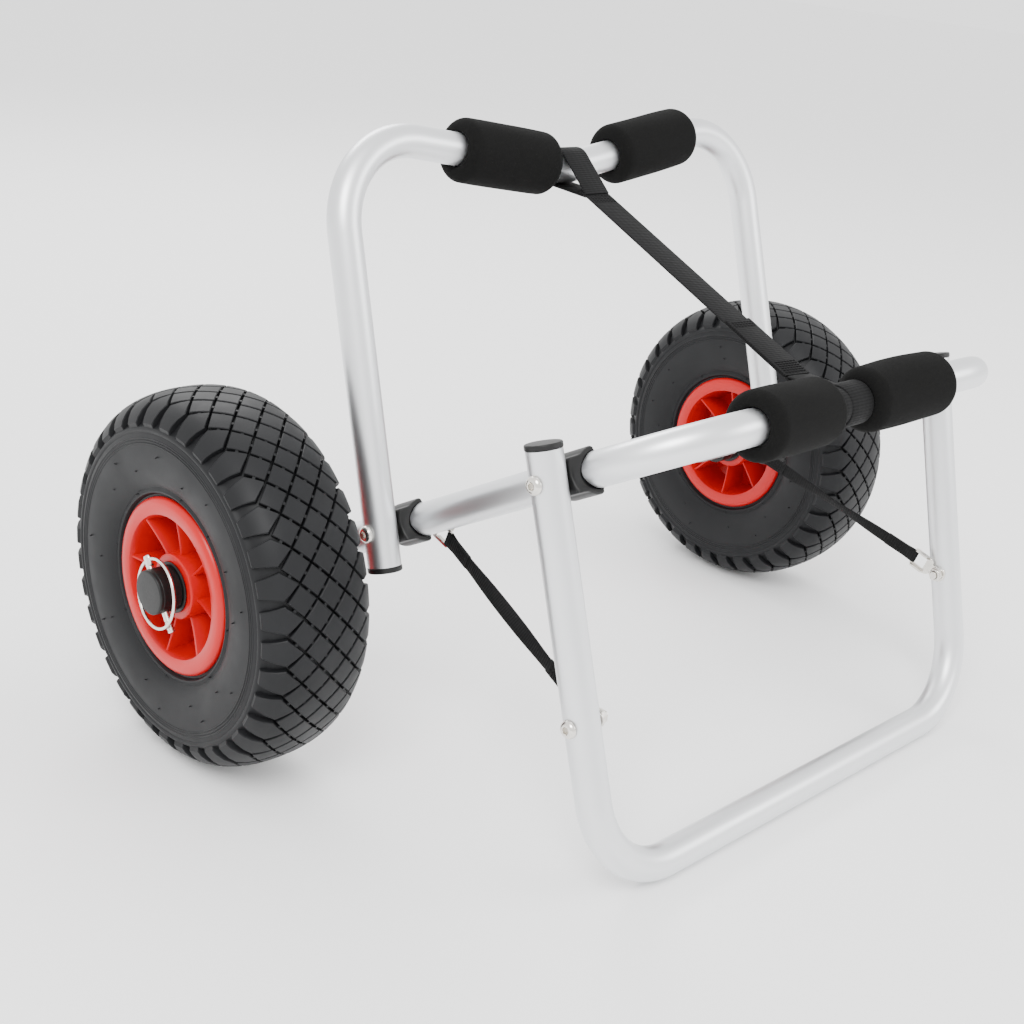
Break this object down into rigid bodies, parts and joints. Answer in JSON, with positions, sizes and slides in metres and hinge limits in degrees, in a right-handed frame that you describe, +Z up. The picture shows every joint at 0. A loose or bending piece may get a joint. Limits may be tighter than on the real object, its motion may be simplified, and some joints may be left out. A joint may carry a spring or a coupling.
{
  "type": "boat trolley",
  "caption": "Folding trolley for a small boat: bent aluminium tube frames with foam hull rests, a fold-out stand, webbing straps and pneumatic wheels held by lock pins.",
  "frame": {"origin": "on the ground, at the middle of the trolley's box", "axes": "+Z up, +X along the wheel axle to the right wheel, -Y towards the stand at the front"},
  "size_m": [0.705, 0.4394, 0.4344],
  "materials": {
    "aluminium_tube": "satin anodised",
    "steel": "polished, nickel tone",
    "black_plastic": "moulded, satin",
    "nylon": "moulded",
    "red_rim": "moulded, semi-gloss",
    "tyre_rubber": "moulded rubber",
    "tube_rubber": "smooth",
    "foam": "closed-cell foam with a fine textile face",
    "webbing": "woven nylon webbing"
  },
  "bodies": {
    "chassis": {"main_frame": "aluminium_tube", "rear_saddle_left": "black_plastic", "rear_saddle_right": "black_plastic", "stand_saddle_left": "black_plastic", "stand_saddle_right": "black_plastic", "rear_pivot_bolt_left": "steel", "rear_pivot_bolt_right": "steel", "rear_pivot_nut_left": "steel", "rear_pivot_nut_right": "steel", "stand_pivot_bolt_left": "steel", "stand_pivot_bolt_right": "steel", "stand_pivot_nut_left": "steel", "stand_pivot_nut_right": "steel", "arm_strap_bracket_left": "steel", "arm_strap_bracket_right": "steel", "front_pad_left": "foam", "front_pad_right": "foam", "axle_cap_left": "black_plastic", "axle_cap_right": "black_plastic", "axle_spacer_left": "nylon", "axle_spacer_right": "nylon", "main_strap": "webbing", "side_strap_left": "webbing", "side_strap_right": "webbing"},
    "rear_frame": {"rear_frame": "aluminium_tube", "rear_end_cap_left": "black_plastic", "rear_end_cap_right": "black_plastic", "rear_pad_left": "foam", "rear_pad_right": "foam"},
    "stand": {"stand_frame": "aluminium_tube", "stand_end_cap_left": "black_plastic", "stand_end_cap_right": "black_plastic", "stand_strap_bracket_left": "steel", "stand_strap_bracket_right": "steel", "strap_bolt_left": "steel", "strap_bolt_right": "steel", "strap_nut_left": "steel", "strap_nut_right": "steel"},
    "wheel_left": {"tyre_left": "tyre_rubber", "inner_tube_left": "tube_rubber", "rim_left": "red_rim", "outer_bush_left": "nylon", "inner_bush_left": "nylon"},
    "lock_pin_left": {"lock_pin_left": "steel"},
    "lock_ring_left": {"lock_ring_left": "steel"},
    "wheel_right": {"tyre_right": "tyre_rubber", "inner_tube_right": "tube_rubber", "rim_right": "red_rim", "outer_bush_right": "nylon", "inner_bush_right": "nylon"},
    "lock_pin_right": {"lock_pin_right": "steel"},
    "lock_ring_right": {"lock_ring_right": "steel"}
  },
  "joints": [
    {"name": "rear_frame_fold", "type": "hinge", "parent": "chassis", "child": "rear_frame", "pos_m": [0, 0.01714, 0.17229], "axis": [1, 0, 0], "range_deg": [0, 64], "deforming": ["main_strap"]},
    {"name": "stand_fold", "type": "hinge", "parent": "chassis", "child": "stand", "pos_m": [0, -0.12828, 0.2576], "axis": [1, 0, 0], "range_deg": [0, 62], "deforming": ["side_strap_left", "side_strap_right"]},
    {"name": "wheel_spin_left", "type": "hinge", "parent": "chassis", "child": "wheel_left", "pos_m": [-0.3, 0.09028, 0.12937], "axis": [1, 0, 0], "continuous": true},
    {"name": "lock_pin_pull_left", "type": "slide", "parent": "chassis", "child": "lock_pin_left", "axis": [0, 0.599, 0.8007], "range_m": [0, 0.045]},
    {"name": "lock_ring_swing_left", "type": "hinge", "parent": "lock_pin_left", "child": "lock_ring_left", "pos_m": [-0.345, 0.10316, 0.14659], "axis": [0, 0.8007, -0.599], "range_deg": [0, 150]},
    {"name": "wheel_spin_right", "type": "hinge", "parent": "chassis", "child": "wheel_right", "pos_m": [0.3, 0.09028, 0.12937], "axis": [1, 0, 0], "continuous": true},
    {"name": "lock_pin_pull_right", "type": "slide", "parent": "chassis", "child": "lock_pin_right", "axis": [0, 0.599, 0.8007], "range_m": [0, 0.045]},
    {"name": "lock_ring_swing_right", "type": "hinge", "parent": "lock_pin_right", "child": "lock_ring_right", "pos_m": [0.345, 0.10316, 0.14659], "axis": [0, -0.8007, 0.599], "range_deg": [0, 150]}
  ],
  "couplings": [
    {"joint": "lock_ring_swing_left", "follows": "lock_pin_pull_left", "rad_per_m": 58},
    {"joint": "lock_ring_swing_right", "follows": "lock_pin_pull_right", "rad_per_m": 58}
  ]
}
